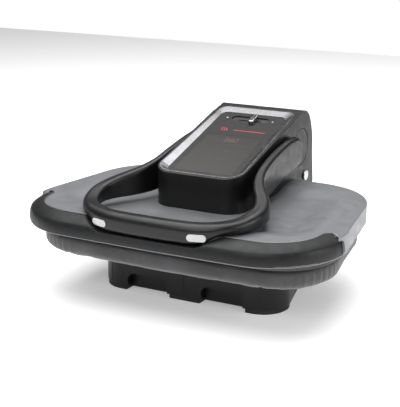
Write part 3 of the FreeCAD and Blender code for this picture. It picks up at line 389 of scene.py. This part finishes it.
def tube(points, radius, sides=10, closed=False):
    """Rings of a round tube about points in metres."""
    rings = []
    count = len(points)
    for index, point in enumerate(points):
        before = points[index - 1] if closed or index else points[0]
        after = points[(index + 1) % count] if closed or index + 1 < count else points[-1]
        along = (after - before).normalized()
        side = along.cross(Vector((0, 0, 1)))
        side = side.normalized() if side.length > 1e-4 else Vector((1, 0, 0))
        up = side.cross(along).normalized()
        rings.append([point + (side * math.cos(turn) + up * math.sin(turn)) * radius
                      for turn in (math.tau * step / sides for step in range(sides))])
    return rings


# ---------------------------------------------------------------- handle

LOOP_STATIONS = [
    (0, -211, 30.5, 160.5, 196, 11),
    (51, -210, 30.5, 160.5, 196, 11),
    (92, -204, 30.5, 161, 196, 11),
    (125, -189, 30.5, 176.4, 197.5, 10),
    (148.5, -164, 30, 176.8, 200, 10.5),
    (161, -133, 29, 177.5, 206, 10),
    (161.5, -104, 28, 178, 212, 10),
    (151, -75, 26.5, 178, 218.5, 9),
    (134.5, -49, 24.5, 178, 225.5, 9),
    (120, -22, 21, 178.5, 232.5, 8),
    (110, 9, 16.5, 180.5, 241, 7),
    (106, 46, 15, 186.5, 251, 6),
    (103.5, 97, 15, 196, 261.5, 6),
    (102.5, 145, 15, 206, 268.5, 6),
]
LEVER_BACK = 177.3
LEVER_HEIGHT = 238.9
ARM_END_RADIUS = 30.0
ARM_MIDDLE = 102.5
ARM_WIDTH = 15.0


def catmull(a, b, c, d, share):
    return 0.5 * (2 * b + (c - a) * share + (2 * a - 5 * b + 4 * c - d) * share ** 2
                  + (3 * b - a - 3 * c + d) * share ** 3)


def grip_section(width, low, high, radius, steps=6):
    """Section of the loop: local x towards the loop's inside, local y up."""
    half = width / 2
    tall = high - low
    small = min(radius * 0.75, tall * 0.45)
    inner_top = min(radius * 0.75, tall * 0.45)
    outer_top = min(radius * 1.15, half * 0.95, tall * 0.45)
    corners = [(half, low, small, -90), (half, high, inner_top, 0),
               (-half, high, outer_top, 90), (-half, low, small, 180)]
    points = []
    for index, (x, y, bend, start) in enumerate(corners):
        centre = Vector((x - math.copysign(bend, x), y + (bend if y == low else -bend)))
        for step in range(steps + 1):
            turn = math.radians(start + 90 * step / steps)
            points.append(centre + Vector((math.cos(turn), math.sin(turn))) * bend)
        ahead = corners[(index + 1) % 4]
        end = points[-1]
        next_x = ahead[0] - math.copysign(ahead[2], ahead[0])
        next_y = ahead[1] + (ahead[2] if ahead[1] == low else -ahead[2])
        turn = math.radians(ahead[3])
        begin = Vector((next_x, next_y)) + Vector((math.cos(turn), math.sin(turn))) * ahead[2]
        for step in range(1, 4):
            points.append(end.lerp(begin, step / 4))
    return points


def make_handle():
    left = [(-x, *rest) for x, *rest in reversed(LOOP_STATIONS[1:])]
    whole = left + LOOP_STATIONS
    fine = []
    steps = 8
    for index in range(len(whole) - 1):
        around = [whole[max(index - 1, 0)], whole[index], whole[index + 1],
                  whole[min(index + 2, len(whole) - 1)]]
        for step in range(steps):
            fine.append(tuple(catmull(*values, step / steps) for values in zip(*around)))
    fine.append(whole[-1])
    arm = []
    for back in (155, 166, LEVER_BACK):
        share = (back - 145) / (LEVER_BACK - 145)
        arm.append((ARM_MIDDLE, back, ARM_WIDTH, 206 + share * 2.9, 268.5 + share * 0.4, 6))
    for turn in (15, 30, 43, 55, 65, 74, 81, 86):
        reach = ARM_END_RADIUS * math.cos(math.radians(turn))
        arm.append((ARM_MIDDLE - 0.3, LEVER_BACK + ARM_END_RADIUS * math.sin(math.radians(turn)),
                    ARM_WIDTH, LEVER_HEIGHT - reach, LEVER_HEIGHT + reach, 6))
    fine = [(-x, *rest) for x, *rest in reversed(arm)] + fine + arm
    rings = []
    for index, (x, back, width, low, high, radius) in enumerate(fine):
        before = Vector(fine[max(index - 1, 0)][:2])
        after = Vector(fine[min(index + 1, len(fine) - 1)][:2])
        along = (after - before).normalized()
        if back > 100:
            along = Vector((0, math.copysign(1, along.y)))
        inside = Vector((-along.y, along.x))
        rings.append([at(x + inside.x * point.x, back + inside.y * point.x, point.y)
                      for point in grip_section(width, low, high, radius)])
    verts, faces = loft(rings, cap_start=True, cap_end=True)
    handle = new_piece("grip_loop", verts, faces, MATERIALS["handle_black"], "handle",
                       35.0)
    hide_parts("handle_loop")
    return handle


# ---------------------------------------------------------------- head cover and bumper

COVER_TOP = 175.3
LIP_TOP = 137.3
BUMPER_TOP = 176.5
NEST_FLOOR = 158.8
NEST_RIM = 179.3
NEST_FLOOR_HALF = 97
NEST_RIM_HALF = 142


def nest_height(x):
    """Height of the trough that the closed handle lies in."""
    reach = abs(x)
    rise = (NEST_RIM - NEST_FLOOR) / (NEST_RIM_HALF - NEST_FLOOR_HALF)
    return NEST_FLOOR + max(0.0, reach - NEST_FLOOR_HALF) * rise


def bumper_edges(count=150):
    """Matching points along the bumper's outer and inner edges, left end to right end."""
    outer = rounded([(0, -228.5, 0), (312.5, -224.5, 140), (311.2, -97.5, 0), (0, 500, 0)])[:-1]
    inner = rounded([(0, -193, 0), (268, -192, 90), (277, -96, 7), (288, -90, 0), (0, 500, 0)])[:-1]
    outer = resample(outer, count, closed=False)
    inner = resample(inner, count, closed=False)
    left_outer = [Vector((-point.x, point.y)) for point in reversed(outer[1:])]
    left_inner = [Vector((-point.x, point.y)) for point in reversed(inner[1:])]
    return left_outer + outer, left_inner + inner


# Share of the way in from the outer edge, and height, round the bumper's section.
BUMPER_SECTION = [
    (0.16, 143.2), (0.045, 143.4), (0.012, 144.2), (0.0, 146.0), (0.0, 149.0), (0.01, 153.0),
    (0.035, 158.5), (0.075, 162.3), (0.115, 164.6), (0.14, 165.7), (0.17, 166.5), (0.23, 167.9),
    (0.36, 170.3), (0.52, 172.7), (0.70, 174.7), (0.86, 176.0), (0.95, 176.45), (0.985, 176.3),
    (1.0, 175.7), (1.0, 172.0), (1.0, 160.0), (1.0, 150.0), (0.9, 146.0), (0.5, 144.6),
]


def make_bumper():
    outer, inner = bumper_edges()
    rings = []
    for first, second in zip(outer, inner):
        ring = []
        for share, height in BUMPER_SECTION:
            point = first.lerp(second, share)
            ring.append(at(point.x, point.y, min(height, nest_height(point.x))))
        rings.append(ring)
    verts, faces = loft(rings, cap_start=True, cap_end=True)
    bumper = new_piece("bumper_moulding", verts, faces, MATERIALS["bumper_black"], "head",
                       30.0)
    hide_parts("front_bumper")
    return bumper


def inside_depth(point, polygon, edge):
    """Distance in from the bumper's inner edge, or 0 outside the bumper."""
    crossings = 0
    for first, second in zip(polygon, polygon[1:] + polygon[:1]):
        if (first.y > point.y) != (second.y > point.y):
            cut = first.x + (point.y - first.y) / (second.y - first.y) * (second.x - first.x)
            crossings += cut > point.x
    if crossings % 2 == 0:
        return 0.0
    return min((spot - point).length for spot in edge)


def cover_profile():
    """Inset from the plate outline and height, from the lower edge to the dish."""
    rows = [(2.6, LIP_TOP + 0.1), (0.6, LIP_TOP), (0.0, LIP_TOP + 0.8)]
    rows += [(0.0, LIP_TOP + 0.8 + step * 5.6) for step in range(1, 7)]
    rows += [(0.15, 173.1), (0.6, 173.7), (1.4, 174.0)]
    inset = 3.0
    while inset < 46:
        rows.append((inset, COVER_TOP - 1.3 * max(0.0, 1 - inset / 30) ** 2))
        inset += 2.6
    while inset < 113:
        rows.append((inset, COVER_TOP - 10.0 * smooth((inset - 46) / 62)))
        inset += 6.0
    return rows


def make_cover():
    outline = resample(rounded(plate_corners(122, 135), 24), 420)
    normals = outward(outline)
    edge_outer, edge_inner = bumper_edges(60)
    polygon = edge_outer + edge_inner[::-1]
    rings = []
    for inset, height in cover_profile():
        ring = []
        for index, point in enumerate(offset(outline, normals, inset)):
            z = height
            if inset < 14 and point.y < -100:
                point = point + normals[index] * (inset - 14)
            if inset < 60 and point.y < -85:
                depth = inside_depth(point, polygon, edge_inner)
                if depth:
                    z = min(z, BUMPER_TOP - 0.4 - 0.6 * depth)
            if point.y < -174 and abs(point.x) < NEST_RIM_HALF:
                z = min(z, nest_height(point.x))
            ring.append(at(point.x, point.y, z))
        rings.append(ring)
    verts, faces = loft(rings, cap_end=True)
    cover = new_piece("cover_skin", verts, faces, MATERIALS["silver_cover"], "head",
                      35.0)
    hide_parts("top_cover")
    inner = [at(point.x, point.y, BUMPER_TOP - 0.25) for point in edge_inner
             if abs(point.x) > 128]
    for side, name in ((-1, "left"), (1, "right")):
        path = [point for point in inner if point.x * side > 0]
        verts, faces = loft(tube(path, 0.0008), cap_start=True, cap_end=True)
        new_piece("edge_bead_" + name, verts, faces, MATERIALS["edge_bead"], "head",
                  60.0)
    return cover


# ---------------------------------------------------------------- fabric board

BOARD_TOP = 123.6
BOARD_FLOOR = 87.5
BOARD_INSET = 8.6
BOARD_FRONT_RADIUS = 126
BOARD_REAR_RADIUS = 138


def pleat(place, corner, height_share):
    """Outward push of the gathers, strongest round the corners and near the hem."""
    wander = noise.noise(Vector((place * 9.0, 3.1, 0))) * 1.6
    wave = math.sin(place * 620.0 + wander * 3.0) + 0.5 * math.sin(place * 1130.0 + wander * 5.0)
    amount = (0.12 + 0.85 * corner) * (0.25 + 0.75 * height_share)
    patch = 0.6 + 0.8 * noise.noise(Vector((place * 26.0, 0.4, height_share)))
    return wave * amount * patch


def board_outline():
    outline = resample(rounded(plate_corners(BOARD_FRONT_RADIUS, BOARD_REAR_RADIUS), 40), 640)
    return outline, outward(outline)


def slab_profile():
    """Inset and height round the slightly small slab that the simulation starts from."""
    rows = [(120, 89.5), (40, 89.5), (26, 89.7)]
    for turn in range(15, 91, 15):
        angle = math.radians(turn)
        rows.append((BOARD_INSET + 1.5 + 13 * (1 - math.sin(angle)),
                     89.7 + 13 * (1 - math.cos(angle))))
    rows += [(BOARD_INSET + 1.5, 108), (BOARD_INSET + 1.5, 114), (BOARD_INSET + 1.8, 118.5),
             (BOARD_INSET + 3.5, 121.0), (BOARD_INSET + 7, 122.0), (40, 122.2), (120, 122.2)]
    return rows


VOXEL = 0.005
SWELL_LIMIT = 0.006
SWELL_FRAMES = 20
CLOTH_QUALITY = 4
CLOTH_PRESSURE = 4.0


def baked(obj):
    """The object's mesh with its modifiers applied."""
    graph = bpy.context.evaluated_depsgraph_get()
    return bpy.data.meshes.new_from_object(obj.evaluated_get(graph))


def swollen(mesh):
    """Mesh filled out by cloth pressure, no point moving further than the limit."""
    scene = bpy.context.scene
    pad = bpy.data.objects.new("pad_work", mesh)
    scene.collection.objects.link(pad)
    remesh = pad.modifiers.new("remesh", "REMESH")
    remesh.mode = "VOXEL"
    remesh.voxel_size = VOXEL
    even = baked(pad)
    pad.modifiers.clear()
    pad.data = even
    start = [vert.co.copy() for vert in even.vertices]
    cloth = pad.modifiers.new("cloth", "CLOTH")
    cloth.settings.quality = CLOTH_QUALITY
    cloth.settings.use_pressure = True
    cloth.settings.uniform_pressure_force = CLOTH_PRESSURE
    cloth.settings.effector_weights.gravity = 0.0
    cloth.point_cache.frame_start = 1
    cloth.point_cache.frame_end = SWELL_FRAMES
    for moment in range(1, SWELL_FRAMES + 1):
        scene.frame_set(moment)
    filled = baked(pad)
    pad.modifiers.clear()
    scene.frame_set(1)
    pad.data = filled
    for vert, origin in zip(filled.vertices, start):
        move = vert.co - origin
        if move.length > SWELL_LIMIT:
            vert.co = origin + move.normalized() * SWELL_LIMIT
    smoother = pad.modifiers.new("finer", "SUBSURF")
    smoother.levels = 1
    smoother.render_levels = 1
    fine = baked(pad)
    bpy.data.objects.remove(pad)
    return fine


HEM_INSET = 60.0


def make_board():
    outline, normals = board_outline()
    count = len(outline)
    rings = [[at(*(point - normal * inset), height) for point, normal in zip(outline, normals)]
             for inset, height in slab_profile()]
    verts, faces = loft(rings, cap_start=True, cap_end=True)
    rough = bpy.data.meshes.new("board_slab")
    rough.from_pydata([tuple(vert) for vert in verts], [], faces)
    mesh = swollen(rough)
    places = kdtree.KDTree(count)
    for index, point in enumerate(outline):
        places.insert(at(point.x, point.y, 0), index)
    places.balance()
    bends = [normals[(index + 6) % count].angle(normals[index - 6]) for index in range(count)]
    sharpest = max(bends)
    span = BOARD_TOP - BOARD_FLOOR
    depths = []
    for vert in mesh.vertices:
        flat = Vector((vert.co.x, vert.co.y, 0))
        near, index, reach = places.find(flat)
        normal = normals[index]
        along = Vector((-normal.y, normal.x, 0))
        place = (index + (flat - near).dot(along) / MM / 3.0) / count
        inset = reach / MM
        depths.append(inset)
        height = vert.co.z / MM
        low = min(1.0, max(0.0, 1 - (height - BOARD_FLOOR) / span))
        fade = 1.0 - smooth((inset - 16) / 8) if low < 0.6 else 1.0 - smooth((inset - 50) / 12)
        corner = min(1.0, bends[index] / sharpest * 1.1)
        push = pleat(place, corner, low) * fade
        side = smooth((30 - inset) / 16)
        vert.co.x += normal.x * push * side * MM
        vert.co.y += normal.y * push * side * MM
        if low > 0.6:
            vert.co.z += 0.5 * push * (1 - side) * MM
        vert.co.z = min(max(vert.co.z, (BOARD_FLOOR - 0.3) * MM), BOARD_TOP * MM)
    edit = bmesh.new()
    edit.from_mesh(mesh)
    edit.verts.ensure_lookup_table()
    inner = [face for face in edit.faces
             if face.calc_center_median().z < 95 * MM
             and min(depths[vert.index] for vert in face.verts) > HEM_INSET]
    bmesh.ops.delete(edit, geom=inner, context="FACES")
    edit.to_mesh(mesh)
    edit.free()
    mesh.shade_smooth()
    mesh.materials.clear()
    mesh.materials.append(MATERIALS["board_cloth"])
    board = bpy.data.objects.new("board_fabric", mesh)
    bpy.context.scene.collection.objects.link(board)
    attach(board, "base")
    hem = [at(*(point - normal * (HEM_INSET + 1)), BOARD_FLOOR + 0.6)
           for point, normal in zip(outline, normals)]
    verts, faces = loft(tube(hem[::2], 0.0017, 8, closed=True), closed_path=True)
    new_piece("board_hem", verts, faces, MATERIALS["board_cloth"], "base", 60.0)
    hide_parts("board_cover", "foam_pad")


# ---------------------------------------------------------------- lip, seams and panel graphics

def make_lip_bead():
    outer, inner = bumper_edges(90)
    path = [at(*first.lerp(second, 0.09), 141.2) for first, second in zip(outer, inner)]
    verts, faces = loft(tube(path, 0.0013, 10), cap_start=True, cap_end=True)
    new_piece("lip_bead", verts, faces, MATERIALS["edge_bead"], "head", 60.0)


def make_base_seams():
    """Fine dark beads where the base's mouldings meet, laid on its surface."""
    base = nodes["base_housing"]
    tree = BVHTree.FromPolygons([vert.co.copy() for vert in base.data.vertices],
                                [tuple(face.vertices) for face in base.data.polygons])
    for name, x in (("middle", 0.0), ("right", 0.158), ("left", -0.158)):
        path = []
        for step in range(26):
            origin = Vector((x, -1.0, 0.012 + step * 0.0028))
            hit = tree.ray_cast(origin, Vector((0, 1, 0)))[0]
            if hit is not None and hit.y < -0.05:
                path.append(hit - Vector((0, 0.0001, 0)))
        if len(path) > 4:
            verts, faces = loft(tube(path, 0.0006, 8), cap_start=True, cap_end=True)
            new_piece("base_seam_" + name, verts, faces, MATERIALS["seam_black"], "base",
                      60.0)


PANEL_BACK = -28.3
PANEL_HEIGHT = 228.0
PANEL_PITCH = math.radians(16.1)


def on_panel(x, along, lift=0.0):
    """Place on the control panel: across, up its slope, and out of its face."""
    back = along * math.cos(PANEL_PITCH) - lift * math.sin(PANEL_PITCH)
    rise = along * math.sin(PANEL_PITCH) + lift * math.cos(PANEL_PITCH)
    return at(x, PANEL_BACK + back, PANEL_HEIGHT + rise)


def strokes(name, paths, width, lift, material):
    """Thin raised strokes along paths of (x, along) points on the panel."""
    verts = []
    faces = []
    for path in paths:
        points = [Vector(point) for point in path]
        first = len(verts)
        for index, point in enumerate(points):
            before = points[max(index - 1, 0)]
            after = points[min(index + 1, len(points) - 1)]
            along = (after - before).normalized()
            side = Vector((-along.y, along.x)) * width / 2
            for spot, height in ((point - side, -0.3), (point - side, lift * 0.6),
                                 (point - side * 0.7, lift), (point + side * 0.7, lift),
                                 (point + side, lift * 0.6), (point + side, -0.3)):
                verts.append(on_panel(spot.x, spot.y, height))
        for index in range(len(points) - 1):
            row = first + index * 6
            for step in range(6):
                after = (step + 1) % 6
                faces.append((row + step, row + after, row + 6 + after, row + 6 + step))
        last = first + (len(points) - 1) * 6
        faces.append(tuple(range(first, first + 6))[::-1])
        faces.append(tuple(range(last, last + 6)))
    return new_piece(name, verts, faces, material, "head", 40.0)


SEGMENTS = {
    "a": ((0, 2), (1, 2)), "b": ((1, 2), (1, 1)), "c": ((1, 1), (1, 0)), "d": ((0, 0), (1, 0)),
    "e": ((0, 1), (0, 0)), "f": ((0, 2), (0, 1)), "g": ((0, 1), (1, 1)),
}
DIGITS = ("abcdg", "abcdefg", "abcdef")


def circle_path(x, along, radius, steps=14):
    return [(x + radius * math.cos(math.tau * step / steps),
             along + radius * math.sin(math.tau * step / steps)) for step in range(steps + 1)]


def make_panel_graphics():
    digits = []
    for place, lit in enumerate(DIGITS):
        left = -14.5 + place * 11.0
        for key in lit:
            (x0, y0), (x1, y1) = SEGMENTS[key]
            start = Vector((left + x0 * 7.0, 132.5 + y0 * 6.5))
            end = Vector((left + x1 * 7.0, 132.5 + y1 * 6.5))
            trim = (end - start).normalized() * 0.8
            digits.append([tuple(start + trim), tuple(end - trim)])
    strokes("display_digits", digits, 1.3, 0.05, MATERIALS["display_glow"])
    marks = [[(-36, 122), (36, 122)], [(14, 126.5), (24, 126.5)]]
    for row, along in enumerate((96, 66)):
        for column in range(4):
            x = -33 + column * 22
            marks.append(circle_path(x, along, 4.6))
            if row == 0:
                marks.append([(x - 1.8, along), (x + 1.8, along)])
            else:
                marks.append([(x, along - 1.8), (x, along + 1.8)])
    marks += [[(-6 + step * 3, 30), (-5 + step * 3, 30)] for step in range(5)]
    strokes("display_icons", marks, 0.7, 0.05, MATERIALS["display_faint"])
    waves = []
    for column in (-1, 0, 1):
        waves.append([(-34 + column * 5.2 + 1.4 * math.sin(step / 10 * math.tau),
                       174 + step * 1.25) for step in range(11)])
    strokes("heat_mark", waves, 1.9, 0.12, MATERIALS["mark_red"])
    strokes("accent_bar", [[(-14, 180), (20, 180), (54, 180)]], 2.6, 0.12,
            MATERIALS["mark_red"])
    strokes("window_edge", [window_path()], 0.9, 0.08, MATERIALS["seam_black"])


def window_path():
    loop = rounded([(-60.5, 11.7, 5), (60.5, 11.7, 5), (59.3, 155.9, 10), (-59.3, 155.9, 10)], 8)
    return [tuple(point) for point in loop + loop[:1]]


make_handle()
make_bumper()
make_cover()
make_board()
make_lip_bead()
make_base_seams()
make_panel_graphics()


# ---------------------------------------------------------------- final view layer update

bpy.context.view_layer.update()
